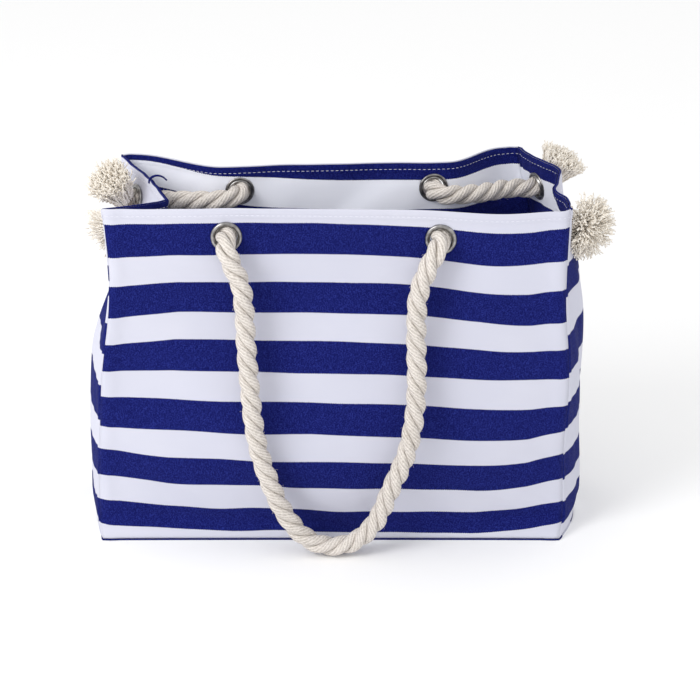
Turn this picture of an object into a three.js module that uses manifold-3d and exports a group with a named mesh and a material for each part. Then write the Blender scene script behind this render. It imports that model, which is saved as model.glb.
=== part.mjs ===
// Beach bag: a striped canvas tote with a lining, eyelets and two rope handles.
// Millimetres, +Z up. The origin is at the middle of the base, on the surface the bag stands on.
// The front faces -Y and the left side faces -X.
import * as THREE from 'three';
import { mergeVertices } from 'three/addons/utils/BufferGeometryUtils.js';
import Module from 'manifold-3d';

const wasm = await Module();
wasm.setup();

// Driving dimensions
const HEIGHT = 375;             // base to rim
const CANVAS = 1.2;             // outer cloth, doubled at its seams
const LINING = 0.8;             // inner cloth
const GAP = 0.3;                // clearance between pieces that touch
const SEAM_GAP = 0.25;          // half the slit between two panels at a corner seam
const ROPE_R = 10.3;            // three-strand cotton rope
const BORE_R = 11.3;            // clear hole of an eyelet
const BARREL_R = 12.2;          // outside of the eyelet's barrel
const FLANGE_R = 16;            // outside of the eyelet's rolled ring
const FLANGE_T = 1.3;
const WASHER_T = 0.8;
const STUB_GAP = 1.5;           // free space between a fixed rope end and the swinging handle
const PIVOT_OUT = 17.5;         // handle pivot, outside the panel face
const KNOT_R = 12;
const KNOT_OUT = 14.5;          // middle of a knot, outside the side panel face
const FOOT_FLARE = 18;          // the seam at the base holds each corner out this far, front and back
const FOOT_TUCK = 5;            // and this far in from the side
const FOOT_START = 0.008;       // heights between which the flare fades, as shares of the bag's height
const FOOT_TOP = 0.07;

// Corner seams, front left, front right, back right and back left: [x, y] at equal steps from base to rim
const CORNERS = [
  [[-251, -67], [-246, -71], [-238, -80], [-225, -86], [-228, -82]],
  [[248, -67], [244, -73], [245, -84], [237, -90], [238, -84]],
  [[242, 68], [241, 74], [238, 90], [224, 106], [203, 124]],
  [[-250, 68], [-245, 72], [-240, 84], [-231, 92], [-227, 96]],
];
// How far each wall swells past the straight line between its corner seams, from base to rim
const FRONT_SWELL = [14, 25, 8, -9, 1];
const RIGHT_SWELL = [26, 26, 24, 29, 14];
const BACK_SWELL = [14, 24, 8, -4, 0];
const LEFT_SWELL = [14, 17, 17, 12, 0];
// Steps around each wall, and the heights of the rows up it
const WALL_STEPS = [14, 14, 16, 12];
const ROWS = [0.007, 0.03, FOOT_TOP, 0.16, 0.28, 0.4, 0.52, 0.64, 0.76, 0.88, 1];

const CLOTH_BLUE = new THREE.MeshStandardMaterial({ color: 0x202a73, roughness: 0.85, metalness: 0 });
const CLOTH_WHITE = new THREE.MeshStandardMaterial({ color: 0xe4e5f0, roughness: 0.85, metalness: 0 });
const ROPE = new THREE.MeshStandardMaterial({ color: 0xdad7d2, roughness: 0.9, metalness: 0 });
const TASSEL = new THREE.MeshStandardMaterial({ color: 0xc9bcad, roughness: 0.95, metalness: 0 });
const METAL = new THREE.MeshStandardMaterial({ color: 0x9a9a9e, roughness: 0.3, metalness: 1 });

function smooth(low, high, value) {
  const share = THREE.MathUtils.clamp((value - low) / (high - low), 0, 1);
  return share * share * (3 - 2 * share);
}
const bump = (value, centre, width) => Math.exp(-(((value - centre) / width) ** 2));

// A value or an [x, y] pair listed from base to rim, read at height t (0 to 1) on a smooth curve
function atHeight(list, t) {
  const points = list.map((value) => new THREE.Vector2(...[value].flat()));
  return new THREE.SplineCurve(points).getPoint(THREE.MathUtils.clamp(t, 0, 1));
}

// The corner seam at height t, held out at the base where four layers of cloth meet
function cornerPoint(corner, t) {
  const point = atHeight(CORNERS[corner % 4], t);
  const foot = 1 - smooth(FOOT_START, FOOT_TOP, t);
  point.x -= Math.sign(point.x) * FOOT_TUCK * foot;
  point.y += Math.sign(point.y) * FOOT_FLARE * foot;
  return point;
}

// Swell of each wall, outwards, at a (-1 to 1 along the wall) and height t
const crown = (list, a, t) => (1 - a * a) * atHeight(list, t).x;
const footPull = (a, t) => (1 - a * a) * (FOOT_FLARE - 3) * (1 - smooth(FOOT_START, FOOT_TOP, t));
const SWELLS = [
  (a, t) => crown(FRONT_SWELL, a, t) - footPull(a, t) + 10 * bump(a, 0.68, 0.24) * bump(t, 0.82, 0.2),
  (a, t) => crown(RIGHT_SWELL, a, t) + 11 * bump(a, 0.28, 0.24) * smooth(0.75, 1, t)
    - 9 * bump(a, -0.4, 0.2) * smooth(0.86, 1, t),
  (a, t) => crown(BACK_SWELL, a, t) - footPull(a, t) - 46 * backPush(a) * smooth(0.4, 1, t),
  (a, t) => crown(LEFT_SWELL, a, t) - 62 * leftFold(a) * smooth(0.52, 1, t),
];

// The back's middle is pushed forwards, and falls back more quickly on the right than on the left
function backPush(a) {
  return a < 0 ? 1 - smooth(0.61, 0.92, -a) : 1 - smooth(0.5, 0.93, a);
}

// The inward fold of the left side, a rounded V with its tip a third of the way towards the front
function leftFold(a) {
  const tip = 0.3;
  const side = a > tip ? (1 - a) / (1 - tip) : (1 + a) / (1 + tip);
  return side - 0.05 * bump(side, 1, 0.1);
}

// The rim's height: it dips at the left fold and in the slack right part of the front
function rimDrop(wall, a, t) {
  if (wall === 3) return 12 * leftFold(a) * smooth(0.5, 1, t);
  if (wall === 0) return 4 * bump(a, 0.72, 0.22) * smooth(0.6, 1, t);
  return 0;
}

// Outside of the cloth: wall 0 is the front, 1 the right side, 2 the back, 3 the left side
function wallPoint(wall, a, t) {
  const from = cornerPoint(wall, t);
  const to = cornerPoint(wall + 1, t);
  const along = to.clone().sub(from).normalize();
  const point = from.clone().lerp(to, (a + 1) / 2);
  point.addScaledVector(new THREE.Vector2(along.y, -along.x), SWELLS[wall](a, t));
  return new THREE.Vector3(point.x, point.y, HEIGHT * t - rimDrop(wall, a, t));
}

// One closed loop around the bag at height t, with the mitred inward direction at each point
function ring(t) {
  const points = [];
  WALL_STEPS.forEach((steps, wall) => {
    for (let i = 0; i < steps; i += 1) points.push(wallPoint(wall, (2 * i) / steps - 1, t));
  });
  const count = points.length;
  return points.map((point, i) => {
    const before = point.clone().sub(points[(i + count - 1) % count]).setZ(0).normalize();
    const after = points[(i + 1) % count].clone().sub(point).setZ(0).normalize();
    const mid = before.clone().add(after).normalize();
    const inward = new THREE.Vector3(-mid.y, mid.x, 0).divideScalar(Math.max(0.35, mid.dot(after)));
    return { point, inward };
  });
}

const inset = ({ point, inward }, depth) => point.clone().addScaledVector(inward, depth);

// A closed solid from a grid of outer points and a grid of inner points, rows[k][i]
function shell(outer, inner) {
  const rows = outer.length;
  const columns = outer[0].length;
  const vertices = [...outer.flat(), ...inner.flat()].flatMap((p) => [p.x, p.y, p.z]);
  const index = [];
  const quad = (a, b, c, d) => index.push(a, b, c, a, c, d);
  const at = (side, k, i) => (side * rows + k) * columns + i;
  for (let k = 0; k < rows - 1; k += 1) {
    for (let i = 0; i < columns - 1; i += 1) {
      quad(at(0, k, i), at(0, k, i + 1), at(0, k + 1, i + 1), at(0, k + 1, i));
      quad(at(1, k, i), at(1, k + 1, i), at(1, k + 1, i + 1), at(1, k, i + 1));
    }
    quad(at(0, k, 0), at(0, k + 1, 0), at(1, k + 1, 0), at(1, k, 0));
    quad(at(0, k, columns - 1), at(1, k, columns - 1), at(1, k + 1, columns - 1), at(0, k + 1, columns - 1));
  }
  for (let i = 0; i < columns - 1; i += 1) {
    quad(at(0, 0, i), at(1, 0, i), at(1, 0, i + 1), at(0, 0, i + 1));
    quad(at(0, rows - 1, i), at(0, rows - 1, i + 1), at(1, rows - 1, i + 1), at(1, rows - 1, i));
  }
  const geometry = new THREE.BufferGeometry();
  geometry.setAttribute('position', new THREE.Float32BufferAttribute(vertices, 3));
  geometry.setIndex(index);
  return geometry;
}

// One wall between two depths below the outside face, standing on a floor at height bottom
function wallSolid(wall, depthOut, depthIn, bottom) {
  const start = WALL_STEPS.slice(0, wall).reduce((sum, steps) => sum + steps, 0);
  const outer = [];
  const inner = [];
  const floor = bottom / HEIGHT;
  for (const t of [floor, ...ROWS.filter((row) => row > floor + 0.001)]) {
    const loop = ring(t);
    const cells = Array.from({ length: WALL_STEPS[wall] + 1 }, (_, i) => loop[(start + i) % loop.length]);
    for (const [face, depth] of [[outer, depthOut], [inner, depthIn]]) {
      const line = cells.map((cell) => inset(cell, depth));
      const last = line.length - 1;
      line[0] = slide(line[0], line[1]);
      line[last] = slide(line[last], line[last - 1]);
      face.push(line);
    }
  }
  return shell(outer, inner);
}

const slide = (from, to) => from.clone().addScaledVector(to.clone().sub(from).normalize(), SEAM_GAP);

// The flat base, cut to the wall's outline at a given inset
function baseSolid(depth, low, thickness) {
  const outline = ring(low / HEIGHT).map((cell) => inset(cell, depth));
  const shape = new THREE.Shape(outline.map((p) => new THREE.Vector2(p.x, p.y)));
  const geometry = new THREE.ExtrudeGeometry(shape, { depth: thickness, bevelEnabled: false });
  return geometry.translate(0, 0, low);
}

// Solid booleans
function toSolid(geometry) {
  const bare = geometry.clone();
  bare.deleteAttribute('normal');
  bare.deleteAttribute('uv');
  const merged = mergeVertices(bare, 1e-4);
  return new wasm.Manifold(new wasm.Mesh({
    numProp: 3,
    vertProperties: new Float32Array(merged.attributes.position.array),
    triVerts: new Uint32Array(merged.index.array),
  }));
}

function toGeometry(solid) {
  const mesh = solid.getMesh();
  const geometry = new THREE.BufferGeometry();
  geometry.setAttribute('position', new THREE.BufferAttribute(mesh.vertProperties, 3));
  geometry.setIndex(new THREE.BufferAttribute(mesh.triVerts, 1));
  return geometry;
}

// Eyelets: where each one sits on its wall, and the outward direction of its axis
const EYELETS = {
  front_left: { wall: 0, a: -0.475, t: 0.919 },
  front_right: { wall: 0, a: 0.45, t: 0.919 },
  side_right_front: { wall: 1, a: -0.66, t: 0.91 },
  side_right_back: { wall: 1, a: 0.7, t: 0.91 },
  back_right: { wall: 2, a: -0.53, t: 0.925 },
  back_left: { wall: 2, a: 0.42, t: 0.925 },
  side_left_back: { wall: 3, a: -0.52, t: 0.915 },
  side_left_front: { wall: 3, a: 0.7, t: 0.915 },
};
for (const eyelet of Object.values(EYELETS)) {
  const { wall, a, t } = eyelet;
  const step = 0.04;
  const across = wallPoint(wall, a + step, t).sub(wallPoint(wall, a - step, t));
  const up = wallPoint(wall, a, t + step).sub(wallPoint(wall, a, t - step));
  eyelet.centre = wallPoint(wall, a, t);
  eyelet.out = across.cross(up).normalize();
}

// A lathe profile's solid, its axis turned from +Y to a direction
function turned(profile, sides, centre, direction) {
  const geometry = new THREE.LatheGeometry(profile.map(([r, y]) => new THREE.Vector2(r, y)), sides);
  const turn = new THREE.Quaternion().setFromUnitVectors(new THREE.Vector3(0, 1, 0), direction);
  return geometry.applyQuaternion(turn).translate(centre.x, centre.y, centre.z);
}

const EYELET_SIDES = 14;
const PROUD = 1.8;              // the ring stands this far off a slightly curved panel
const WASHER_CLEAR = 2.2;       // and so does the washer inside
const BARREL_END = -(CANVAS + LINING + GAP + WASHER_CLEAR + WASHER_T);

function eyeletRing({ centre, out }) {
  const profile = [
    [BORE_R, BARREL_END], [BARREL_R, BARREL_END], [BARREL_R, PROUD], [FLANGE_R, PROUD],
    [FLANGE_R - 1, PROUD + FLANGE_T], [BORE_R + 0.8, PROUD + FLANGE_T], [BORE_R, PROUD], [BORE_R, BARREL_END],
  ];
  return turned(profile, EYELET_SIDES, centre, out);
}

function eyeletWasher({ centre, out }) {
  const inside = BARREL_R + GAP;
  const profile = [
    [inside, BARREL_END], [FLANGE_R - 0.5, BARREL_END], [FLANGE_R - 0.5, BARREL_END + WASHER_T],
    [inside, BARREL_END + WASHER_T], [inside, BARREL_END],
  ];
  return turned(profile, EYELET_SIDES, centre, out);
}

function eyeletHole({ centre, out }) {
  const reach = 8;
  const radius = BARREL_R + 0.4;
  const profile = [[0, -reach], [radius, -reach], [radius, reach], [0, reach]];
  return turned(profile, EYELET_SIDES, centre, out);
}

const ROPE_SIDES = 8;

// A round rope along a smooth line through its points
function rope(points, steps) {
  const section = new THREE.Shape();
  section.absarc(0, 0, ROPE_R, 0, Math.PI * 2, false);
  return new THREE.ExtrudeGeometry(section, {
    extrudePath: new THREE.CatmullRomCurve3(points, false, 'centripetal'),
    steps,
    curveSegments: ROPE_SIDES / 2,
    bevelEnabled: false,
  });
}

// Each loop's pivot line, and the route its rope was laid along by hand, from pivot to pivot
const outermost = (names) => Math.max(...names.map((name) => Math.abs(EYELETS[name].centre.y)));
const FRONT_PIVOT = { y: -outermost(['front_left', 'front_right']) - PIVOT_OUT, z: 345 };
const BACK_PIVOT = { y: outermost(['back_left', 'back_right']) + PIVOT_OUT, z: 347 };
const FRONT_LEAN = 14;          // how far each loop stands out past its pivot line at the bottom
const BACK_LEAN = 38;
const FRONT_ROUTE = [
  [-105, 345], [-101, 324], [-92, 300], [-86, 268], [-85, 235], [-80, 190], [-77, 155], [-73, 124],
  [-64, 86], [-50, 52], [-32, 25], [-12, 12], [10, 11], [28, 19], [46, 41], [62, 80], [78, 122],
  [85, 160], [87, 200], [86, 250], [88, 292], [99, 324], [107, 345],
].map(([x, z]) => [x, FRONT_PIVOT.y - FRONT_LEAN * smooth(290, 90, z), z]);
const BACK_ROUTE = [
  [-100, 347], [-98, 322], [-92, 290], [-88, 250], [-84, 210], [-79, 165], [-72, 122], [-60, 80],
  [-44, 45], [-24, 20], [0, 11], [24, 16], [46, 40], [64, 78], [77, 120], [86, 165], [92, 210],
  [96, 250], [100, 290], [105, 322], [107, 347],
].map(([x, z]) => [x, BACK_PIVOT.y + BACK_LEAN * smooth(345, 120, z), z]);

// Fixed rope runs: out through a panel eyelet, along the inside, and out through the side eyelet to a knot
const RUNS = {
  front_left: {
    side: 'side_left_front', pivot: FRONT_PIVOT, inside: [[-107, -65], [-122, -62], [-150, -64], [-178, -67]],
  },
  front_right: {
    side: 'side_right_front', pivot: FRONT_PIVOT, inside: [[114, -68], [130, -62], [160, -59], [205, -52]],
  },
  back_left: {
    side: 'side_left_back', pivot: BACK_PIVOT, inside: [[-103, 37], [-117, 33], [-150, 37], [-178, 47]],
  },
  back_right: {
    side: 'side_right_back', pivot: BACK_PIVOT, inside: [[106, 42], [122, 42], [156, 58], [190, 80]],
  },
};

function runPoints(name) {
  const { side, pivot, inside } = RUNS[name];
  const from = EYELETS[name];
  const to = EYELETS[side];
  const stub = Math.abs(pivot.y - from.centre.y) - ROPE_R - STUB_GAP;
  const along = (eyelet, distance) => eyelet.centre.clone().addScaledVector(eyelet.out, distance);
  const height = (i) => THREE.MathUtils.lerp(from.centre.z, to.centre.z, i / (inside.length - 1));
  const middle = inside.map(([x, y], i) => new THREE.Vector3(x, y, height(i)));
  const end = KNOT_OUT - KNOT_R - GAP;
  const out = [stub, 3, -3, -9].map((distance) => along(from, distance));
  const back = [-9, -4, 1, end].map((distance) => along(to, distance));
  return [...out, ...middle, ...back];
}

// Each rope ends in a knot against the side eyelet, and a frayed tassel that points its own way
const TASSELS = {
  left_front: { direction: [-0.9, 0.3, -0.3], length: 18, radius: 15 },
  left_back: { direction: [-0.29, -0.59, 0.75], length: 36, radius: 19 },
  right_front: { direction: [0.75, -0.62, -0.2], length: 20, radius: 26 },
  right_back: { direction: [0.55, 0, 0.83], length: 33, radius: 18 },
};

const knotCentre = ({ centre, out }) => centre.clone().addScaledVector(out, KNOT_OUT);

function knot(eyelet) {
  const { x, y, z } = knotCentre(eyelet);
  return new THREE.SphereGeometry(KNOT_R, 10, 8).translate(x, y, z);
}

function tassel(eyelet, { direction, length, radius }) {
  const axis = new THREE.Vector3(...direction).normalize();
  const start = KNOT_R + GAP;
  const end = start + length;
  const profile = [
    [0, start], [8, start], [13, start + 5], [radius, end - 6], [radius - 3, end], [0, end],
  ];
  return turned(profile, 12, knotCentre(eyelet), axis);
}

const group = new THREE.Group();
function add(name, geometry, material) {
  const mesh = new THREE.Mesh(geometry, material);
  mesh.name = name;
  group.add(mesh);
  return mesh;
}

const WALL_NAMES = ['front', 'right', 'back', 'left'];
WALL_NAMES.forEach((name, wall) => {
  const holes = Object.values(EYELETS).filter((eyelet) => eyelet.wall === wall).map(eyeletHole);
  const layers = [['canvas', 0, CANVAS, CANVAS + GAP], ['lining', CANVAS + GAP, CANVAS + GAP + LINING, 2.6]];
  for (const [layer, depthOut, depthIn, bottom] of layers) {
    const whole = toSolid(wallSolid(wall, depthOut, depthIn, bottom));
    const cut = holes.reduce((solid, hole) => solid.subtract(toSolid(hole)), whole);
    add(`${layer}_${name}`, toGeometry(cut), layer === 'canvas' ? CLOTH_BLUE : CLOTH_WHITE);
  }
});
add('canvas_base', baseSolid(0, 0, CANVAS), CLOTH_WHITE);
add('lining_base', baseSolid(CANVAS + GAP, CANVAS + GAP, LINING), CLOTH_BLUE);

for (const [name, eyelet] of Object.entries(EYELETS)) {
  add(`eyelet_${name}`, eyeletRing(eyelet), METAL);
  add(`washer_${name}`, eyeletWasher(eyelet), METAL);
}

const vectors = (points) => points.map((p) => new THREE.Vector3(...p));
add('front_handle', rope(vectors(FRONT_ROUTE), 34), ROPE);
add('back_handle', rope(vectors(BACK_ROUTE), 34), ROPE);
for (const name of Object.keys(RUNS)) {
  add(`rope_run_${name}`, rope(runPoints(name), 20), ROPE);
}
for (const [name, shape] of Object.entries(TASSELS)) {
  const eyelet = EYELETS[`side_${name}`];
  add(`knot_${name}`, knot(eyelet), ROPE);
  add(`tassel_${name}`, tassel(eyelet, shape), TASSEL);
}

export default group;
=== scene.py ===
import math

import bmesh
import bpy
import numpy as np
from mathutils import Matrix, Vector


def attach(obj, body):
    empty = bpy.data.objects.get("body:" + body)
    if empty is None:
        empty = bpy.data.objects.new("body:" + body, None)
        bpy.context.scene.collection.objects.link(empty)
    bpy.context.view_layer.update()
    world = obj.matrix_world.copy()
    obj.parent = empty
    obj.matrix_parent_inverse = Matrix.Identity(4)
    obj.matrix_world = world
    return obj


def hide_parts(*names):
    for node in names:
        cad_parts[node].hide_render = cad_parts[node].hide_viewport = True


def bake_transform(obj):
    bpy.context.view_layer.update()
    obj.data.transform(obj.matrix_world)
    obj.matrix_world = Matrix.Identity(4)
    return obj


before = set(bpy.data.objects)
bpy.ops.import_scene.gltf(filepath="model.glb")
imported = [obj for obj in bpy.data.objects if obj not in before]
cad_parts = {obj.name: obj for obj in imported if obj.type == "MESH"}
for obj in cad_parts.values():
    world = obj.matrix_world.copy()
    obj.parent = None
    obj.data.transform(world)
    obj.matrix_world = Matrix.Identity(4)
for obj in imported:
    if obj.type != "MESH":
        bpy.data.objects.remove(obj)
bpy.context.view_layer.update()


# ---------------------------------------------------------------------------
# Studio: a long lens looks slightly down at the bag's front, which stands on a
# pale floor under a broad soft light from the upper left.
# ---------------------------------------------------------------------------
eye = Vector((0.019, -1.871, 0.999))
eye_pitch = math.radians(66.5)
camera_data = bpy.data.cameras.new("camera")
camera_data.lens = 97.7
camera_data.clip_end = 30
camera = bpy.data.objects.new("camera", camera_data)
camera.location = eye
camera.rotation_euler = (eye_pitch, 0, 0)
bpy.context.scene.collection.objects.link(camera)
bpy.context.scene.camera = camera
bpy.context.scene.view_settings.view_transform = "Standard"

floor_mesh = bpy.data.meshes.new("floor")
floor_reach = 6.0
floor_mesh.from_pydata(
    [(-floor_reach, -floor_reach, 0), (floor_reach, -floor_reach, 0),
     (floor_reach, floor_reach, 0), (-floor_reach, floor_reach, 0)],
    [], [(0, 1, 2, 3)],
)
floor = bpy.data.objects.new("floor", floor_mesh)
bpy.context.scene.collection.objects.link(floor)
floor_paint = bpy.data.materials.new("floor_paint")
floor_paint.use_nodes = True
floor_shader = floor_paint.node_tree.nodes["Principled BSDF"]
floor_shader.inputs["Base Color"].default_value = (0.95, 0.95, 0.95, 1)
floor_shader.inputs["Roughness"].default_value = 0.9
floor_shader.inputs["Specular IOR Level"].default_value = 0.1
floor_mesh.materials.append(floor_paint)

world = bpy.data.worlds.new("studio")
world.use_nodes = True
world.node_tree.nodes["Background"].inputs["Color"].default_value = (1, 1, 1, 1)
world.node_tree.nodes["Background"].inputs["Strength"].default_value = 0.98
bpy.context.scene.world = world


def soft_light(name, place, target, size, watts):
    data = bpy.data.lights.new(name, "AREA")
    data.shape = "DISK"
    data.size = size
    data.energy = watts
    lamp = bpy.data.objects.new(name, data)
    lamp.location = place
    lamp.rotation_euler = (Vector(target) - Vector(place)).to_track_quat("-Z", "Y").to_euler()
    bpy.context.scene.collection.objects.link(lamp)


soft_light("key", (-1.5, -1.35, 1.6), (-0.08, 0, 0.2), 1.2, 27)
soft_light("fill", (1.9, -1.6, 1.8), (0, 0, 0.2), 1.8, 1.5)


# ---------------------------------------------------------------------------
# Ropes: two lengths of natural cotton rope, three plump strands laid to the
# left. Each runs from a knot outside one side, along the inside, out through
# the panel as a carrying loop, and back to a knot outside the other side.
# ---------------------------------------------------------------------------
MM = 0.001
rope_radius = 10.3 * MM
rope_lay = 60 * MM
rope_step = 2.5 * MM
strand_radius = 5.3 * MM
front_pivot_y, front_lean = -103.9, 14
back_pivot_y, back_lean = 86.6, 38


def smooth(low, high, value):
    """0 at low, 1 at high and an even slope between; low may be the larger."""
    share = np.clip((value - low) / (high - low), 0, 1)
    return share * share * (3 - 2 * share)


front_route = [
    (-206, -55, 339), (-196, -62, 338), (-178, -67, 338),
    (-150, -65, 340), (-124, -62, 343), (-110, -66, 345), (-105, -75, 345),
    (-105, -85, 345), (-105, -94, 344), (-104, -102, 338),
] + [
    (x, front_pivot_y - front_lean * smooth(290, 90, z), z)
    for x, z in [
        (-99, 324), (-90, 300), (-87, 268), (-86, 235), (-83, 190), (-80, 155), (-75, 124), (-64, 86),
        (-50, 52), (-32, 26), (-12, 13.5), (10, 12.5), (28, 20), (46, 41), (62, 80), (78, 122), (85, 160),
        (87, 200), (86, 250), (88, 292), (99, 324),
    ]
] + [
    (106, -102, 338), (109, -94, 343), (109, -86, 344), (111, -77, 344),
    (117, -67, 344), (131, -62, 343), (160, -59, 342), (205, -53, 341), (234, -50, 341), (246, -50, 342),
]
back_route = [
    (-211, 51, 340), (-201, 55, 338), (-178, 47, 339), (-150, 37, 342),
    (-119, 33, 344), (-104, 38, 346), (-98, 49, 347), (-98, 60, 347),
    (-100, 75, 347), (-100, 84, 340),
] + [
    (x, back_pivot_y + back_lean * smooth(345, 120, z), z)
    for x, z in [
        (-98, 322), (-92, 290), (-88, 250), (-84, 210), (-79, 165), (-72, 122), (-60, 80), (-44, 45),
        (-24, 21), (0, 12.5), (24, 17), (46, 40), (64, 78), (77, 120), (86, 165), (92, 210), (96, 250),
        (100, 290), (105, 322),
    ]
] + [
    (107, 84, 340), (108, 75, 346), (108, 66, 347), (108, 57, 347), (111, 49, 347),
    (119, 44, 346), (132, 47, 345), (156, 58, 343), (190, 80, 341), (214, 86, 340), (225, 90, 342),
]


def smooth_line(points, spacing):
    """A centripetal curve through the points, in metres, as evenly spaced stations."""
    p = np.array(points, float) * MM
    p = np.vstack([2 * p[0] - p[1], p, 2 * p[-1] - p[-2]])
    knots = np.concatenate([[0], np.cumsum(np.sqrt(np.linalg.norm(np.diff(p, axis=0), axis=1)))])
    fine = []
    for i in range(1, len(p) - 2):
        a, b, c, d = knots[i - 1:i + 3]
        t = np.linspace(b, c, 12, endpoint=False)[:, None]
        one = p[i - 1] * (b - t) / (b - a) + p[i] * (t - a) / (b - a)
        two = p[i] * (c - t) / (c - b) + p[i + 1] * (t - b) / (c - b)
        three = p[i + 1] * (d - t) / (d - c) + p[i + 2] * (t - c) / (d - c)
        left = one * (c - t) / (c - a) + two * (t - a) / (c - a)
        right = two * (d - t) / (d - b) + three * (t - b) / (d - b)
        fine.append(left * (c - t) / (c - b) + right * (t - b) / (c - b))
    fine = np.vstack(fine + [p[-2][None]])
    run = np.concatenate([[0], np.cumsum(np.linalg.norm(np.diff(fine, axis=0), axis=1))])
    stations = np.linspace(0, run[-1], max(2, round(run[-1] / spacing) + 1))
    return np.stack([np.interp(stations, run, fine[:, k]) for k in range(3)], 1)


def turning_frames(line):
    """The tangent, normal and binormal at each station, carried along without twist."""
    tangent = np.gradient(line, axis=0)
    tangent /= np.linalg.norm(tangent, axis=1)[:, None]
    normal = np.zeros_like(line)
    start = np.cross(tangent[0], (0.0, 0.0, 1.0))
    normal[0] = start / np.linalg.norm(start)
    for i in range(1, len(line)):
        step = normal[i - 1] - tangent[i] * (normal[i - 1] @ tangent[i])
        normal[i] = step / np.linalg.norm(step)
    return tangent, normal, np.cross(tangent, normal)


def tube(line, radii, sides, facing=None):
    """Points, faces and (around, along) coordinates of a closed tube; around is 0.5 on the facing side."""
    tangent, normal, other = turning_frames(line)
    if facing is not None:
        normal = -(facing - tangent * (facing * tangent).sum(1)[:, None])
        normal /= np.linalg.norm(normal, axis=1)[:, None]
        other = np.cross(tangent, normal)
    turn = np.linspace(0, 2 * math.pi, sides, endpoint=False)
    ring = np.cos(turn)[None, :, None] * normal[:, None] + np.sin(turn)[None, :, None] * other[:, None]
    radii = np.broadcast_to(radii, len(line))
    points = (line[:, None] + ring * radii[:, None, None]).reshape(-1, 3)
    run = np.concatenate([[0], np.cumsum(np.linalg.norm(np.diff(line, axis=0), axis=1))])
    faces, coords = [], []
    for i in range(len(line) - 1):
        for j in range(sides):
            k = (j + 1) % sides
            faces.append((i * sides + j, i * sides + k, (i + 1) * sides + k, (i + 1) * sides + j))
            u, w = j / sides, (j + 1) / sides
            coords.append(((u, run[i]), (w, run[i]), (w, run[i + 1]), (u, run[i + 1])))
    faces.append(tuple(range(sides))[::-1])
    coords.append([(j / sides, run[0]) for j in range(sides)][::-1])
    last = (len(line) - 1) * sides
    faces.append(tuple(range(last, last + sides)))
    coords.append([(j / sides, run[-1]) for j in range(sides)])
    return points, faces, coords


def piece(name, parts, material, shade_smooth=True):
    """One object from (points, faces, coords) parts, with the coords as its UV map."""
    points, faces, coords, base = [], [], [], 0
    for part_points, part_faces, part_coords in parts:
        points.append(np.asarray(part_points))
        faces += [tuple(int(v) + base for v in face) for face in part_faces]
        coords += [uv for face in part_coords for uv in face]
        base += len(part_points)
    mesh = bpy.data.meshes.new(name)
    mesh.from_pydata(np.vstack(points).tolist(), [], faces)
    layer = mesh.uv_layers.new(name="cloth")
    layer.data.foreach_set("uv", np.array(coords, np.float32).ravel())
    mesh.polygons.foreach_set("use_smooth", [shade_smooth] * len(faces))
    mesh.materials.append(material)
    made = bpy.data.objects.new(name, mesh)
    bpy.context.scene.collection.objects.link(made)
    return made


class Value:
    """A shader socket that adds Math nodes when it is used in an expression."""

    def __init__(self, tree, socket=None):
        self.tree = tree
        self.socket = socket

    def node(self, kind, settings=None, inputs=None, out=0):
        made = self.tree.nodes.new(kind)
        for name, setting in (settings or {}).items():
            setattr(made, name, setting)
        for name, value in (inputs or {}).items():
            if isinstance(value, Value):
                self.tree.links.new(value.socket, made.inputs[name])
            else:
                made.inputs[name].default_value = value
        return Value(self.tree, made.outputs[out])

    def math(self, operation, *values):
        return self.node("ShaderNodeMath", {"operation": operation}, dict(enumerate(values)))

    def __add__(self, other):
        return self.math("ADD", self, other)

    def __sub__(self, other):
        return self.math("SUBTRACT", self, other)

    def __rsub__(self, other):
        return self.math("SUBTRACT", other, self)

    def __mul__(self, other):
        return self.math("MULTIPLY", self, other)

    def __truediv__(self, other):
        return self.math("DIVIDE", self, other)

    __radd__ = __add__
    __rmul__ = __mul__

    def wave(self):
        return self.math("SINE", self)

    def step(self, low, high):
        return self.node("ShaderNodeMapRange", {"interpolation_type": "SMOOTHSTEP"},
                         {"Value": self, "From Min": low, "From Max": high})

    def noise(self, scale, detail=2.0):
        return self.node("ShaderNodeTexNoise", {}, {"Vector": self, "Scale": scale, "Detail": detail})

    def blend(self, low, high):
        """A colour from low to high by this value; both are colours or colour sockets."""
        return self.node("ShaderNodeMix", {"data_type": "RGBA"}, {0: self, 6: low, 7: high}, 2)

    def split(self):
        """The first two parts of a vector, such as a UV map's."""
        parts = self.node("ShaderNodeSeparateXYZ", {}, {0: self}).socket.node.outputs
        return Value(self.tree, parts[0]), Value(self.tree, parts[1])


def new_material(name):
    """A material, its start value and a function that sets its shader's sockets."""
    material = bpy.data.materials.new(name)
    material.use_nodes = True
    shader = material.node_tree.nodes["Principled BSDF"]

    def finish(**sockets):
        for key, value in sockets.items():
            socket = shader.inputs[key.replace("_", " ")]
            if isinstance(value, Value):
                material.node_tree.links.new(value.socket, socket)
            else:
                socket.default_value = value

    return material, Value(material.node_tree), finish


def srgb(red, green, blue):
    """A colour given as 0 to 255 screen values, as the linear one that shaders take."""
    def linear(c):
        c /= 255
        return c / 12.92 if c <= 0.04045 else ((c + 0.055) / 1.055) ** 2.4
    return (linear(red), linear(green), linear(blue), 1)


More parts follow.
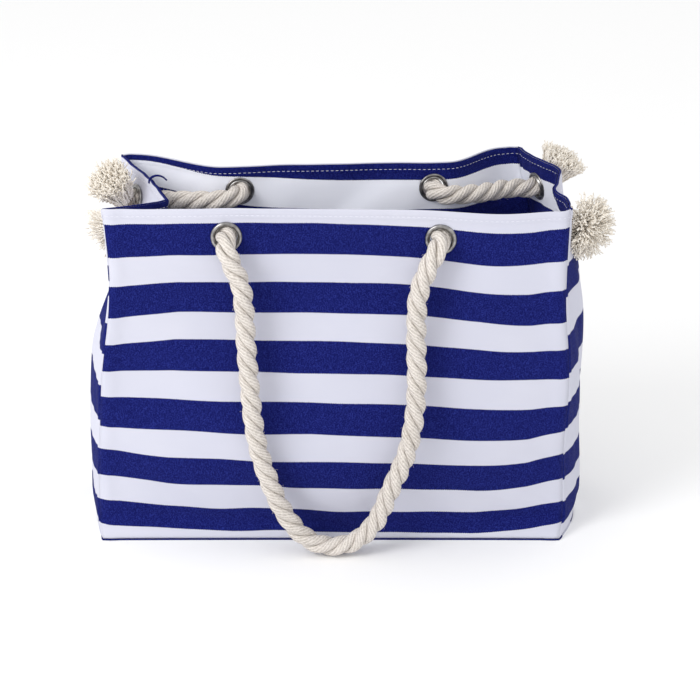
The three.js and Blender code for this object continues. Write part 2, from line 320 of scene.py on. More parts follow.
def yarn_material(name, light, dark, yarns, slant, bump_mm, groove_shade):
    """Twisted cotton yarn: fine slanting yarns round a strand, with loose fibre and painted shade in the
    grooves between strands.
    """
    material, start, finish = new_material(name)
    around, along = start.node("ShaderNodeUVMap", {"uv_map": "cloth"}).split()
    place = start.node("ShaderNodeTexCoord", {}, {}, 3)
    wobble = place.noise(300.0) * 3.0
    yarn = ((around + along * slant) * (2 * math.pi * yarns) + wobble).wave() * 0.5 + 0.5
    fibre = place.noise(900.0, 3.0)
    clump = place.noise(420.0, 2.0)
    soil = place.noise(30.0, 3.0)
    tone = (yarn * 0.22 + fibre * 0.5 + clump * 0.35 + soil * 0.2).step(0.35, 0.85)
    # Painted shade: the sides of each strand, away from its outward crown, are darkened towards a dark brown
    # where neighbouring strands meet, as shade in the grooves.
    off_crown = (around - 0.5).math("ABSOLUTE", around - 0.5)
    shade = off_crown.step(0.2, 0.33) * groove_shade
    bump = start.node("ShaderNodeBump", {}, {
        "Strength": 1.0, "Distance": bump_mm * MM, "Height": yarn * 0.55 + fibre * 1.1 + clump * 0.9})
    colour = shade.blend(tone.blend(dark, light), srgb(112, 98, 82))
    finish(Base_Color=colour, Roughness=0.95, Normal=bump,
           Specular_IOR_Level=0.1, Sheen_Weight=0.15, Sheen_Roughness=0.5)
    return material


# The rope's grooves get painted shade at 0.8 strength; the tassel yarn gets none.
rope_cotton = yarn_material("rope_cotton", srgb(238, 231, 224), srgb(188, 179, 170), 9, 9.0, 1.1, 0.8)


def laid_rope(line):
    """The three strands of a rope along a line, each flattened a little against its neighbours."""
    orbit = rope_radius - strand_radius + 0.2 * MM
    tangent, normal, other = turning_frames(line)
    run = np.concatenate([[0], np.cumsum(np.linalg.norm(np.diff(line, axis=0), axis=1))])
    strands = []
    for k in range(3):
        turn = -2 * math.pi * (run / rope_lay) + 2 * math.pi * k / 3
        out = np.cos(turn)[:, None] * normal + np.sin(turn)[:, None] * other
        strands.append(tube(line + orbit * out, strand_radius, 20, facing=out))
    return strands


class Tree:
    """A Geometry Nodes tree with named inputs, applied to an object as a plain mesh."""

    def __init__(self, name, **inputs):
        self.group = bpy.data.node_groups.new(name, "GeometryNodeTree")
        interface = self.group.interface
        interface.new_socket("Geometry", in_out="INPUT", socket_type="NodeSocketGeometry")
        self.names = {}
        for label, kind in inputs.items():
            socket = interface.new_socket(label, in_out="INPUT", socket_type=f"NodeSocket{kind}")
            self.names[label] = socket.identifier
        interface.new_socket("Geometry", in_out="OUTPUT", socket_type="NodeSocketGeometry")
        self.start = self.group.nodes.new("NodeGroupInput")

    def node(self, kind, settings=None, inputs=None):
        made = self.group.nodes.new(kind)
        for name, setting in (settings or {}).items():
            setattr(made, name, setting)
        for name, value in (inputs or {}).items():
            if isinstance(value, bpy.types.NodeSocket):
                self.group.links.new(value, made.inputs[name])
            else:
                made.inputs[name].default_value = value
        return made.outputs

    def end(self, geometry):
        made = self.group.nodes.new("NodeGroupOutput")
        self.group.links.new(geometry, made.inputs[0])

    def apply(self, made, **values):
        """Run the tree on an object and keep the result as its mesh."""
        modifier = made.modifiers.new(self.group.name, "NODES")
        modifier.node_group = self.group
        for label, value in values.items():
            modifier[self.names[label]] = value
        bpy.context.view_layer.update()
        seen = made.evaluated_get(bpy.context.evaluated_depsgraph_get())
        mesh = bpy.data.meshes.new_from_object(seen)
        made.modifiers.remove(modifier)
        old, made.data = made.data, mesh
        mesh.name = made.name
        bpy.data.meshes.remove(old)


loose_fibres = Tree("loose_fibres", Density="Float", Longest="Float", Cotton="Material")
given = loose_fibres.start.outputs
spots = loose_fibres.node("GeometryNodeDistributePointsOnFaces", {"distribute_method": "RANDOM"}, {
    "Mesh": given["Geometry"], "Density": given["Density"], "Seed": 4})
bow = loose_fibres.node("GeometryNodeCurveQuadraticBezier", {}, {
    "Resolution": 3, "Start": (0, 0, 0), "Middle": (0.2, 0, 0.9), "End": (1.0, 0.1, 0.7)})
section = loose_fibres.node("GeometryNodeCurvePrimitiveCircle", {}, {"Resolution": 3, "Radius": 0.045})
fibre = loose_fibres.node("GeometryNodeCurveToMesh", {}, {
    "Curve": bow["Curve"], "Profile Curve": section["Curve"], "Fill Caps": True})
lean = loose_fibres.node("FunctionNodeRandomValue", {"data_type": "FLOAT_VECTOR"}, {
    "Min": (-0.5, -0.5, -3.1), "Max": (0.5, 0.5, 3.1), "Seed": 11})
turned_fibre = loose_fibres.node("FunctionNodeRotateRotation", {"rotation_space": "LOCAL"}, {
    "Rotation": spots["Rotation"], "Rotate By": lean["Value"]})
reach = loose_fibres.node("FunctionNodeRandomValue", {"data_type": "FLOAT"}, {
    "Min": 0.35, "Max": 1.0, "Seed": 12})
size = loose_fibres.node("ShaderNodeMath", {"operation": "MULTIPLY"}, {0: reach[1], 1: given["Longest"]})
strewn = loose_fibres.node("GeometryNodeInstanceOnPoints", {}, {
    "Points": spots["Points"], "Instance": fibre["Mesh"],
    "Rotation": turned_fibre["Rotation"], "Scale": size[0]})
plain = loose_fibres.node("GeometryNodeRealizeInstances", {}, {"Geometry": strewn["Instances"]})
both = loose_fibres.group.nodes.new("GeometryNodeJoinGeometry")
loose_fibres.group.links.new(plain[0], both.inputs[0])
loose_fibres.group.links.new(given["Geometry"], both.inputs[0])
coloured = loose_fibres.node("GeometryNodeSetMaterial", {}, {
    "Geometry": both.outputs[0], "Material": given["Cotton"]})
loose_fibres.end(coloured[0])

ropes = {}
for name, route in (("front", front_route), ("back", back_route)):
    line = smooth_line(route, rope_step)
    made = piece(f"rope_{name}", laid_rope(line), rope_cotton)
    loose_fibres.apply(made, Density=16000.0, Longest=2.6 * MM, Cotton=rope_cotton)
    ropes[name] = (made, line)


# ---------------------------------------------------------------------------
# Knots and tassels: each rope end is pulled up tight in a small knot against
# its side eyelet, and the strands past it are combed out into loose yarn.
# ---------------------------------------------------------------------------
knot_radius = 12 * MM
tassel_yarn = yarn_material("tassel_yarn", srgb(254, 249, 241), srgb(236, 226, 211), 2, 300.0, 0.3, 0.0)
ends = {
    # end: middle of the knot, way the rope runs through it, way the tassel points, yarns,
    # radius of the bundle at the knot, angle it opens to, length
    "left_front": ((-215, -47, 340), (-0.75, 0.65, 0.09), (-0.9, 0.3, -0.3), 230, 9, 38, 32),
    "left_back": ((-222, 46, 342), (-0.88, -0.42, 0.21), (-0.29, -0.59, 0.75), 560, 12, 14, 44),
    "right_front": ((257, -51, 344), (0.98, -0.04, 0.17), (0.75, -0.62, -0.2), 640, 5, 112, 31),
    "right_back": ((236, 96, 344), (0.89, 0.42, 0.18), (0.46, 0.0, 0.89), 500, 10, 25, 40),
}


def unit(vector):
    vector = np.asarray(vector, float)
    return vector / np.linalg.norm(vector)


def across(axis):
    """Two directions square to an axis and to each other."""
    side = unit(np.cross(axis, (0.3, 0.2, 1.0)))
    return side, np.cross(axis, side)


def knot_parts(centre, axis):
    """A strand wound tightly round the rope, over a short core of it."""
    side, other = across(axis)
    strand, turns = 4.2 * MM, 2.6
    turn = np.linspace(0, 2 * math.pi * turns, 90)
    swell = (knot_radius - strand) * (0.72 + 0.28 * np.sin(np.linspace(0, math.pi, len(turn))))
    rise = np.linspace(-8, 8, len(turn)) * MM
    line = (centre + np.cos(turn)[:, None] * side * swell[:, None]
            + np.sin(turn)[:, None] * other * swell[:, None] + rise[:, None] * axis)
    core = np.array([centre - 11 * MM * axis, centre, centre + 10 * MM * axis])
    return [tube(line, strand, 12), tube(core, 7 * MM, 14)]


def tassel_lines(centre, axis, yarns, root, opening, length, seed):
    """Crimped yarns that leave round the knot and open like a brush, or like a ball when opening is wide."""
    rng = np.random.default_rng(seed)
    side, other = across(axis)
    t = np.linspace(0, 1, 11)[:, None]
    lobes = [(unit(rng.normal(0, 1, 3)), rng.uniform(-0.35, 0.12)) for _ in range(7)]
    lines = []
    for _ in range(yarns):
        spin, spread = rng.uniform(0, 2 * math.pi), math.sqrt(rng.uniform(0, 1))
        out = math.cos(spin) * side + math.sin(spin) * other
        tilt = math.radians(opening) * spread
        way = unit(axis * math.cos(tilt) + out * math.sin(tilt))
        start = centre + out * spread * root * MM + way * 3 * MM
        tip = unit(way + rng.normal(0, 0.2, 3))
        uneven = 1 + sum(share * max(0, way @ lobe) ** 8 for lobe, share in lobes)
        reach = min(length, length * uneven) * MM * rng.uniform(0.78, 1.0)
        line = start + reach * (way * t * (1 - 0.5 * t) + tip * 0.5 * t * t)
        first, second = across(way)
        crimp = 2 * math.pi * t * reach / (rng.uniform(5, 11) * MM) + rng.uniform(0, 6.3)
        wave = rng.uniform(0.5, 1.6) * MM * np.sqrt(t)
        lines.append(line + wave * (np.cos(crimp) * first + np.sin(crimp) * second))
    return lines


tassel_yarn_radius = 0.65 * MM
knots, tassels = {}, {}
for seed, (end, (centre, axis, direction, yarns, root, opening, length)) in enumerate(ends.items()):
    centre, axis, direction = np.array(centre) * MM, unit(axis), unit(direction)
    knots[end] = piece(f"rope_knot_{end}", knot_parts(centre, axis), rope_cotton)
    lines = tassel_lines(centre, direction, yarns, root, opening, length, seed)
    loose_yarns = [tube(line, tassel_yarn_radius, 5) for line in lines]
    tassels[end] = piece(f"frayed_yarn_{end}", loose_yarns, tassel_yarn)
    for made, kind in ((knots[end], "knot"), (tassels[end], "tassel")):
        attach(made, "bag")
        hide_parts(f"{kind}_{end}")
        "rope" if kind == "knot" else "tassel"

for name, start, stop in (
    ("front", (0, -0.088, 0.349), (0, -0.106, 0.318)),
    ("back", (0, 0.070, 0.351), (0, 0.090, 0.318)),
):
    made, line = ropes[name]
    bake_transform(made)
    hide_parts(f"{name}_handle", f"rope_run_{name}_left", f"rope_run_{name}_right")
    length = float(np.linalg.norm(np.diff(line, axis=0), axis=1).sum())


# ---------------------------------------------------------------------------
# Canvas: front, back and side panels of heavy cotton canvas with woven navy
# stripes. They are sewn at the corners, and the slack sides and back sag, with
# one side folded in and the back pushed forward at the middle.
# ---------------------------------------------------------------------------
height = 375.0
corner_seams = np.array([
    [[-251, -67], [-246, -71], [-238, -80], [-225, -86], [-228, -82]],
    [[248, -67], [244, -73], [245, -84], [237, -90], [238, -84]],
    [[242, 68], [241, 74], [238, 90], [224, 106], [203, 124]],
    [[-250, 68], [-245, 72], [-240, 84], [-231, 92], [-227, 96]],
], float)
wall_swell = np.array([
    [14, 25, 8, -9, 1], [26, 26, 24, 29, 14], [14, 24, 8, -4, 0], [14, 17, 17, 12, 0],
], float)
foot_flare, foot_tuck = 18, 5
wall_columns = (118, 74, 118, 66)
row_heights = np.concatenate([
    np.linspace(0.004, 0.08, 13)[:-1], np.linspace(0.08, 0.945, 84)[:-1], np.linspace(0.945, 0.9955, 16)])


def at_height(values, t):
    """Values listed from base to rim, read on a smooth curve at heights t."""
    values = np.asarray(values, float)
    spot = np.clip(t, 0, 1) * (len(values) - 1)
    i = np.minimum(spot.astype(int), len(values) - 2)
    w = spot - i
    p0, p1 = values[np.maximum(i - 1, 0)], values[i]
    p2, p3 = values[i + 1], values[np.minimum(i + 2, len(values) - 1)]
    if values.ndim > 1:
        w = w[..., None]
    v0, v1 = (p2 - p0) / 2, (p3 - p1) / 2
    return (2 * p1 - 2 * p2 + v0 + v1) * w**3 + (-3 * p1 + 3 * p2 - 2 * v0 - v1) * w**2 + v0 * w + p1


def hump(value, centre, width):
    """1 at the centre, falling away smoothly over the width on either side."""
    return np.exp(-(((value - centre) / width) ** 2))


def foot(t):
    """1 at the base seam, 0 above the stretch that the seam holds out."""
    return 1 - smooth(0.008, 0.07, t)


def corner_line(corner, t):
    """Plan place of a corner seam at heights t."""
    line = at_height(corner_seams[corner % 4], t)
    x = line[..., 0] - np.sign(line[..., 0]) * foot_tuck * foot(t)
    y = line[..., 1] + np.sign(line[..., 1]) * foot_flare * foot(t)
    return np.stack([x, y], -1)


def left_fold(a):
    """How deep the left side is folded in at each place along it, from 0 to 1."""
    tip = 0.3
    side = np.where(a > tip, (1 - a) / (1 - tip), (1 + a) / (1 + tip))
    return side - 0.05 * hump(side, 1, 0.1)


def back_push(a):
    """How far the back is pushed forward at each place along it, from 0 to 1."""
    return np.where(a < 0, 1 - smooth(0.61, 0.92, -a), 1 - smooth(0.5, 0.93, a))


def swell(wall, a, t):
    """How far a wall stands out past the straight line between its corner seams."""
    crown = (1 - a * a) * at_height(wall_swell[wall], t)
    pull = (1 - a * a) * (foot_flare - 3) * foot(t)
    if wall == 0:
        return crown - pull + 10 * hump(a, 0.68, 0.24) * hump(t, 0.82, 0.2)
    if wall == 1:
        pinch = 9 * hump(a, -0.4, 0.2) * smooth(0.86, 1, t)
        return crown + 11 * hump(a, 0.28, 0.24) * smooth(0.75, 1, t) - pinch
    if wall == 2:
        return crown - pull - 46 * back_push(a) * smooth(0.4, 1, t)
    return crown - 62 * left_fold(a) * smooth(0.52, 1, t)


def slack(wall, a, t):
    """Soft unevenness of the cloth, in millimetres."""
    rng = np.random.default_rng(40 + wall)
    total = np.zeros_like(a)
    for size, low, high in ((1.3, 1.0, 2.4), (0.8, 2.4, 5.0), (0.3, 6, 11)):
        for _ in range(4):
            across_waves, up_waves = rng.uniform(low, high), rng.uniform(low, high)
            start = rng.uniform(0, 6.3)
            total += size / 2 * np.sin(math.pi * (across_waves * a + 2 * up_waves * t) + start)
    return total * smooth(0, 0.06, t) * smooth(0, 0.05, 1 - np.abs(a))


def rim_drop(wall, a, t):
    """How much lower the cloth hangs where the rim dips, in millimetres."""
    if wall == 3:
        return 12 * left_fold(a) * smooth(0.5, 1, t)
    if wall == 0:
        return 4 * hump(a, 0.72, 0.22) * smooth(0.6, 1, t)
    return np.zeros_like(a)


def wall_grid(wall):
    """Points of one wall's outside face, [row up, column along], in millimetres."""
    a, t = np.meshgrid(np.linspace(-1, 1, wall_columns[wall] + 1), row_heights)
    left, right = corner_line(wall, t), corner_line(wall + 1, t)
    along = right - left
    along /= np.linalg.norm(along, axis=-1)[..., None]
    out = np.stack([along[..., 1], -along[..., 0]], -1)
    plan = left + (right - left) * ((a + 1) / 2)[..., None]
    seam_ridge = 1.7 * hump(np.abs(a), 0.965, 0.032) * (1 - 0.6 * foot(t))
    plan = plan + out * (swell(wall, a, t) + slack(wall, a, t) + seam_ridge)[..., None]
    return np.concatenate([plan, (height * t - rim_drop(wall, a, t))[..., None]], -1)


walls = [wall_grid(wall) for wall in range(4)]
shell = np.concatenate([grid[:, :-1] for grid in walls], 1)
before = shell - np.roll(shell, 1, 1)
after = np.roll(shell, -1, 1) - shell
before[..., 2] = 0
after[..., 2] = 0
before /= np.linalg.norm(before, axis=-1)[..., None]
after /= np.linalg.norm(after, axis=-1)[..., None]
middle = before + after
middle /= np.linalg.norm(middle, axis=-1)[..., None]
miter = np.maximum(0.35, (middle * after).sum(-1))
inward = np.stack([-middle[..., 1], middle[..., 0], np.zeros(middle.shape[:2])], -1) / miter[..., None]
column_starts = np.concatenate([[0], np.cumsum(wall_columns)])


def wall_layer(wall, depth):
    """One wall's points at a depth inside its outside face, in metres, and the inward directions."""
    columns = np.arange(column_starts[wall], column_starts[wall + 1] + 1) % shell.shape[1]
    turned_in = inward[:, columns]
    return (shell[:, columns] + turned_in * np.asarray(depth)[..., None]) * MM, turned_in


def cloth_coords(grid):
    """How far each point is along the wall, and down from the rim, measured on the cloth in metres."""
    down = np.linalg.norm(np.diff(grid[::-1], axis=0), axis=-1)
    down = np.vstack([np.zeros(grid.shape[1]), np.cumsum(down, 0)])[::-1]
    sideways = np.linalg.norm(np.diff(grid, axis=1), axis=-1).mean(0)
    sideways = np.concatenate([[0], np.cumsum(sideways)])
    return np.stack([np.broadcast_to(sideways, down.shape), down], -1)


eyelets = {
    # eyelet: wall, place along it (-1 to 1), height (0 to 1)
    "front_left": (0, -0.475, 0.919), "front_right": (0, 0.45, 0.919),
    "side_right_front": (1, -0.66, 0.91), "side_right_back": (1, 0.7, 0.91),
    "back_right": (2, -0.53, 0.925), "back_left": (2, 0.42, 0.925),
    "side_left_back": (3, -0.52, 0.915), "side_left_front": (3, 0.7, 0.915),
}


def eyelet_place(wall, a, t):
    """Centre on the outside face, in metres, and the outward direction."""
    grid = walls[wall]
    column = (a + 1) / 2 * wall_columns[wall]
    row = np.interp(t, row_heights, np.arange(len(row_heights)))
    i, j = int(column), int(row)
    w, s = column - i, row - j
    centre = ((grid[j, i] * (1 - w) + grid[j, i + 1] * w) * (1 - s)
              + (grid[j + 1, i] * (1 - w) + grid[j + 1, i + 1] * w) * s)
    reach = 4
    along = grid[j, i + reach] - grid[j, i - reach]
    up = grid[j + reach, i] - grid[j - reach, i]
    return centre * MM, unit(np.cross(along, up))


eyelet_places = {name: eyelet_place(*spot) for name, spot in eyelets.items()}
eyelet_hole = 12.9 * MM

hem_width = 8.5
stitch_drop = 6.4
rim_roll = 1.1


def hem_lift(along, down):
    """How far the turned hem stands off the cloth: two more layers, pulled in along the stitching."""
    lift = 0.75 * (1 - smooth(hem_width - 0.8, hem_width + 1.2, down))
    pucker = 0.22 * np.sin(along * 0.74 + 1.7 * np.sin(along * 0.11)) * hump(down, stitch_drop, 4)
    return lift - 0.5 * hump(down, stitch_drop, 0.9) + pucker


def rolled_rim(grid, coords, turned_in):
    """Extra rows that roll the outer cloth over the rim to meet the lining."""
    bends = np.linspace(0, math.pi, 10)[1:]
    top, radius = grid[-1], rim_roll * MM
    rows, extra = [grid], [coords]
    for bend in bends:
        row = top + turned_in[-1] * radius * (1 - math.cos(bend))
        row[:, 2] += radius * math.sin(bend)
        rows.append(row[None])
        extra.append((coords[-1] - [0, radius * bend])[None])
    return np.concatenate(rows), np.concatenate(extra)


stripe_top = 18.0 * MM
blue_width = 33.2 * MM
white_width = 30.6 * MM
side_first_stripe = 58 * MM
# How far the stripes have slipped down the front, in millimetres: a row for each share of the way
# across it, with a figure for each distance down from the rim. The sides have one row each.
slip_across = [0.02, 0.15, 0.46, 0.81, 0.92, 0.98]
slip_down = [18, 51, 82, 115, 146, 179, 209, 243, 273, 306, 337, 370, 392]
front_slip = np.array([
    [-3, -1, -1, 1, 1, -1, -2, 1, -2, -3, -4, -9, -8],
    [-4, -3, -5, -5, -6, -4, -2, 1, 2, 1, 0, -8, -6],
    [-4, -3, -3, -3, -4, -2, -1, 1, 1, 0, 1, -4, -3],
    [0, 1, 0, 0, 1, 1, 3, 8, 7, 6, 5, -7, -6],
    [1, 1, 2, 4, 4, 3, 6, 10, 9, 6, 0, -10, -8],
    [-1, 0, 0, 3, 3, 4, 7, 6, 3, 1, -2, -13, -9],
], float)
side_slip_down = [100, 150, 200, 250, 300, 335, 370]
side_slip = {1: [0, 16, 16, 7, 5, 0, -9], 3: [0, -1, -1, 1, -2, -4, -10]}


def stripe_place(kind, wall, along, down):
    """Where each point falls on the stripes. The sides are cut with a wide white hem, and the
    lining's stripes run off the rim towards the left.
    """
    share = along / along.max()
    if kind == "lining":
        back_sag = 7 * smooth(0.66, 0.84, share) * smooth(15, 38, down / MM)
        back_run = 12.5 * smooth(0.38, 0.95, share) + back_sag
        run_off = (8 * smooth(0.5, 0, share), -3, back_run, 9.5 - 3 * share)
        return down + run_off[wall] * MM
    if wall == 0:
        per_column = np.array([np.interp(down / MM, slip_down, row) for row in front_slip])
        place = np.interp(share, slip_across, np.arange(len(slip_across)))
        low = np.minimum(place.astype(int), len(slip_across) - 2)
        nearer = np.take_along_axis(per_column, low[None], 0)[0]
        further = np.take_along_axis(per_column, low[None] + 1, 0)[0]
        return down - (nearer + (further - nearer) * (place - low)) * MM
    if wall == 2:
        return down
    white_low, white_high = stripe_top + blue_width, stripe_top + blue_width + white_width
    hem = white_low + (white_high - white_low) * down / side_first_stripe
    tuck = (white_high - side_first_stripe) * (1 - smooth(110 * MM, 300 * MM, down))
    slip = np.interp(down / MM, side_slip_down, side_slip[wall]) * MM
    return np.where(down < side_first_stripe, hem, down + tuck - slip)


def cloth_panel(name, kind, wall, depth, thickness, material):
    """One panel of cloth with its eyelet holes punched, and its thickness inwards."""
    grid, turned_in = wall_layer(wall, np.full(walls[wall].shape[:2], float(depth)))
    coords = cloth_coords(grid)
    along, down = coords[..., 0], coords[..., 1]
    flat = float(along.max()), float(down.max()) + 2 * hem_width * MM
    side = -1 if kind == "canvas" else 1
    foot_turn = 1.2 * (1 - smooth(1.5, 4.5, grid[..., 2] / MM))
    shaped = depth + side * hem_lift(along / MM, down / MM) + foot_turn
    grid, turned_in = wall_layer(wall, shaped)
    coords = np.stack([along, stripe_place(kind, wall, along, down)], -1)
    if kind == "canvas":
        grid, coords = rolled_rim(grid, coords, turned_in)
    rows, columns = grid.shape[:2]
    points = grid.reshape(-1, 3)
    cells = np.array([
        (k * columns + i, k * columns + i + 1, (k + 1) * columns + i + 1, (k + 1) * columns + i)
        for k in range(rows - 1) for i in range(columns - 1)
    ])
    centres = points[cells].mean(1)
    keep = np.ones(len(cells), bool)
    for spot, (centre, _) in eyelet_places.items():
        if eyelets[spot][0] == wall:
            keep &= np.linalg.norm(centres - centre, axis=1) > eyelet_hole
    cells = cells[keep]
    flat_coords = coords.reshape(-1, 2)
    made = piece(name, [(points, cells.tolist(), [flat_coords[list(cell)] for cell in cells])], material)
    tidy = bmesh.new()
    tidy.from_mesh(made.data)
    bmesh.ops.delete(tidy, geom=[v for v in tidy.verts if not v.link_faces], context="VERTS")
    for spot, (centre, _) in eyelet_places.items():
        if eyelets[spot][0] != wall:
            continue
        for v in tidy.verts:
            offset = v.co - Vector(centre)
            if v.is_boundary and offset.length < 1.5 * eyelet_hole:
                v.co = Vector(centre) + offset * (eyelet_hole / offset.length)
    tidy.to_mesh(made.data)
    tidy.free()
    solid = made.modifiers.new("thickness", "SOLIDIFY")
    solid.thickness = thickness
    solid.offset = -1
    return made, flat


navy = srgb(9, 15, 80)
navy_fleck = srgb(42, 52, 138)


def canvas_material(name, swapped, cotton_white, cotton_shade):
    """Plain-weave cotton with even woven stripes; the lining has them the other way round."""
    material, start, finish = new_material(name)
    along, down = start.node("ShaderNodeUVMap", {"uv_map": "cloth"}).split()
    place = start.node("ShaderNodeTexCoord", {}, {}, 3)
    thread_pitch = 1.15 * MM
    thread = 2 * math.pi / thread_pitch
    crown = (along * thread).wave() * (down * thread).wave()
    fray = (place.noise(1500.0, 1.0) - 0.5) * (0.9 * MM)
    saw = (along * (thread * 0.5)).wave() * (0.22 * MM)
    period = blue_width + white_width
    spot = (down + fray + saw - stripe_top) / period
    cycle = spot.math("FRACT", spot)
    middle = blue_width / period / 2
    edge = 0.004
    blue = (middle - (cycle - middle).math("ABSOLUTE", cycle - middle)).step(-edge, edge)
    streak = start.node("ShaderNodeCombineXYZ", {}, {0: along * 1400.0, 1: down * 160.0}).noise(1.0, 2.0)
    fleck = (place.noise(950.0, 2.0) * 0.7 + streak * 0.3).step(0.42, 0.68)
    cast = place.noise(9.0, 3.0)
    blue_tone = (fleck * 0.75 + crown * 0.1 + 0.05).blend(navy, navy_fleck)
    white_tone = (cast * 0.8 + crown * 0.2).step(0.2, 0.9).blend(cotton_shade, cotton_white)
    mask = blue if not swapped else 1 - blue
    bump = start.node("ShaderNodeBump", {}, {
        "Strength": 0.6, "Distance": 0.3 * MM,
        "Height": crown * 0.5 + place.noise(1300.0, 2.0) * 0.9 + place.noise(60.0, 2.0) * 1.5})
    finish(Base_Color=mask.blend(white_tone, blue_tone), Roughness=0.9, Normal=bump,
           Specular_IOR_Level=0.08, Sheen_Weight=0.03, Sheen_Roughness=0.4)
    return material


canvas_depth, canvas_thickness = 0, 1.2 * MM
lining_depth, lining_thickness = 1.5, 0.8 * MM
canvas = canvas_material("striped_canvas", False, srgb(213, 213, 224), srgb(202, 203, 217))
# The lining is the same white cotton as the canvas, but its white is painted far lighter: painted light
# standing in for light inside the bag.
lining_cloth = canvas_material("striped_lining", True, srgb(246, 247, 254), srgb(238, 240, 250))
for wall, name in enumerate(("front", "right", "back", "left")):
    outer, outer_flat = cloth_panel(
        f"cloth_{name}", "canvas", wall, canvas_depth, canvas_thickness, canvas)
    inner, inner_flat = cloth_panel(
        f"lining_cloth_{name}", "lining", wall, lining_depth, lining_thickness, lining_cloth)
    for made, kind, flat in ((outer, "canvas", outer_flat), (inner, "lining", inner_flat)):
        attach(made, "bag")
        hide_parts(f"{kind}_{name}")


# ---------------------------------------------------------------------------
# Hem tail: a short end of the lining's turned edge, left untrimmed where the
# left side folds in, that curls out over the rim.
# ---------------------------------------------------------------------------
tail_column = 24
tail_root = walls[3][-1, tail_column]
tail_line = smooth_line([tail_root + step for step in np.array([
    (-1, 0, -3), (0, -1, 1.5), (4, -2, 5), (9, -3, 6), (14, -3.5, 4.5), (18, -4, 1),
], float)], 0.9 * MM)
tail_radii = 1.5 * MM * np.sqrt(np.linspace(1, 0.25, len(tail_line)))
points, faces, coords = tube(tail_line, tail_radii, 12)
in_the_blue = [[(around, along / 2) for around, along in face] for face in coords]
hem_tail = piece("lining_hem_tail", [(points, faces, in_the_blue)], lining_cloth)
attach(hem_tail, "bag")


# ---------------------------------------------------------------------------
# Topstitching: one row of white thread holds the hem, seen as dashes on both
# faces of the bag just below the rim.
# ---------------------------------------------------------------------------
running_stitch = Tree("running_stitch", Pitch="Float", Length="Float", Thickness="Float", Thread="Material")
given = running_stitch.start.outputs
seam = running_stitch.node("GeometryNodeMeshToCurve", {}, {"Mesh": given["Geometry"]})
marks = running_stitch.node("GeometryNodeResampleCurve", {"mode": "LENGTH"}, {
    "Curve": seam[0], "Length": given["Pitch"]})
heading = running_stitch.node("GeometryNodeInputTangent")
turned_stitch = running_stitch.node("FunctionNodeAlignRotationToVector", {"axis": "Z"}, {
    "Vector": heading[0]})
half = running_stitch.node("ShaderNodeMath", {"operation": "MULTIPLY"}, {0: given["Length"], 1: 0.5})
stretch = running_stitch.node("ShaderNodeCombineXYZ", {}, {
    0: given["Thickness"], 1: given["Thickness"], 2: half[0]})
bead = running_stitch.node("GeometryNodeMeshUVSphere", {}, {"Segments": 6, "Rings": 5, "Radius": 1.0})
laid = running_stitch.node("GeometryNodeInstanceOnPoints", {}, {
    "Points": marks[0], "Instance": bead["Mesh"], "Rotation": turned_stitch[0], "Scale": stretch[0]})
plain = running_stitch.node("GeometryNodeRealizeInstances", {}, {"Geometry": laid["Instances"]})
coloured = running_stitch.node("GeometryNodeSetMaterial", {}, {
    "Geometry": plain[0], "Material": given["Thread"]})
running_stitch.end(coloured[0])


def thread_material():
    material, start, finish = new_material("white_thread")
    place = start.node("ShaderNodeTexCoord", {}, {}, 3)
    finish(Base_Color=place.noise(700.0, 2.0).blend(srgb(214, 214, 226), srgb(236, 236, 244)), Roughness=0.7)
    return material


def stitch_path(depth):
    """The seam line round the bag, a stitch's drop below the rim."""
    loop = []
    for wall in range(4):
        grid, _ = wall_layer(wall, np.full(walls[wall].shape[:2], float(depth)))
        down = cloth_coords(grid)[..., 1]
        for i in range(grid.shape[1] - 1):
            order = np.argsort(down[:, i])
            loop.append([np.interp(stitch_drop * MM, down[order, i], grid[order, i, k]) for k in range(3)])
    return loop


white_thread = thread_material()
for name, depth, kind in (("outside", -0.35, "canvas"), ("inside", 2.75, "lining")):
    loop = stitch_path(depth)
    mesh = bpy.data.meshes.new(f"topstitch_{name}")
    mesh.from_pydata(loop, [(i, (i + 1) % len(loop)) for i in range(len(loop))], [])
    made = bpy.data.objects.new(f"topstitch_{name}", mesh)
    bpy.context.scene.collection.objects.link(made)
    running_stitch.apply(made, Pitch=5.2 * MM, Length=3.4 * MM, Thickness=0.26 * MM, Thread=white_thread)
    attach(made, "bag")


# ---------------------------------------------------------------------------
# Base: one flat piece of canvas sewn to the foot of the four walls, with the
# lining's own base lying on it.
# ---------------------------------------------------------------------------
def base_part(depth, low, high):
    """A flat plate cut to the wall's foot."""
    ring = (shell[0] + inward[0] * depth) * MM
    count = len(ring)
    points = np.vstack([ring, ring, [[0, 0, 0]], [[0, 0, 0]]])
    points[:count, 2] = low
    points[count:2 * count, 2] = high
    points[2 * count, 2] = low
    points[2 * count + 1, 2] = high
    faces = []
    for i in range(count):
        j = (i + 1) % count
        faces.append((i, j, count + j, count + i))
        faces.append((2 * count, j, i))
        faces.append((2 * count + 1, count + i, count + j))
    return points, faces, [[tuple(points[v][:2]) for v in face] for face in faces]


for name, depth, low, high, node, material in (
    ("cloth_base", 0, 0, 1.4 * MM, "canvas_base", canvas),
    ("lining_cloth_base", 1.5, 1.6 * MM, 2.4 * MM, "lining_base", lining_cloth),
):
    part = base_part(depth, low, high)
    width, length = np.ptp(part[0][:, :2], axis=0)
    made = piece(name, [part], material, shade_smooth=False)
    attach(made, "bag")
    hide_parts(node)
    node.split("_")[0]


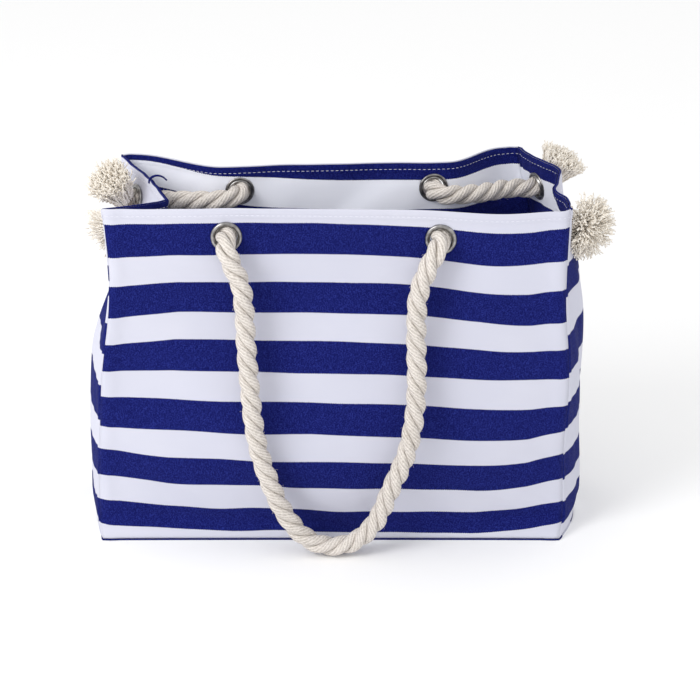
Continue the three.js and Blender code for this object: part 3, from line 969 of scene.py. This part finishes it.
# ---------------------------------------------------------------------------
# Eyelets: rolled nickel-plated rings pressed through both cloths, each with a
# plain washer closed over its barrel on the lining side.
# ---------------------------------------------------------------------------
def turned_part(profile, centre, out, sides=48):
    """A closed ring from a profile of (radius, height) points, on its axis."""
    side, other = across(out)
    count = len(profile)
    turn = np.linspace(0, 2 * math.pi, sides, endpoint=False)
    points = np.array([
        centre + r * MM * (math.cos(angle) * side + math.sin(angle) * other) + h * MM * out
        for angle in turn for r, h in profile
    ])
    faces, coords = [], []
    for i in range(sides):
        for j in range(count):
            a, b = i * count + j, i * count + (j + 1) % count
            c, d = (i + 1) % sides * count + (j + 1) % count, (i + 1) % sides * count + j
            faces.append((a, b, c, d))
            coords.append(((i / sides, j / count),) * 4)
    return points, faces, coords


def nickel_material():
    material, start, finish = new_material("worn_nickel")
    place = start.node("ShaderNodeTexCoord", {}, {}, 3)
    cloud = place.noise(180.0, 4.0)
    finish(Base_Color=cloud.step(0.3, 0.75).blend(srgb(118, 116, 116), srgb(176, 174, 172)),
           Metallic=1.0, Roughness=cloud * 0.25 + 0.2)
    return material


nickel = nickel_material()


def rolled(inner, outer, low, top):
    """A ring's profile: a rounded crown between two radii."""
    middle, half = (inner + outer) / 2, (outer - inner) / 2
    return [(middle + half * math.cos(x), low + (top - low) * math.sin(x))
            for x in np.linspace(0, math.pi, 13)]


bore, barrel_outside, flange = 11.3, 12.2, 16
seat, barrel_foot = 0.2, -5.4
for name, (centre, out) in eyelet_places.items():
    crown = rolled(bore, flange, seat, 2.4)
    barrel = [(bore, barrel_foot), (barrel_outside, barrel_foot), (barrel_outside, seat)]
    ring = piece(f"eyelet_ring_{name}", [turned_part(crown + barrel, centre, out)], nickel)
    cap = rolled(12.4, 15.6, -2.6, -3.9) + [(12.4, -2.4), (15.6, -2.4)]
    washer = piece(f"eyelet_washer_{name}", [turned_part(cap, centre, out)], nickel)
    for made, node in ((ring, f"eyelet_{name}"), (washer, f"washer_{name}")):
        tidy = bmesh.new()
        tidy.from_mesh(made.data)
        bmesh.ops.recalc_face_normals(tidy, faces=tidy.faces)
        tidy.to_mesh(made.data)
        tidy.free()
        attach(made, "bag")
        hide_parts(node)
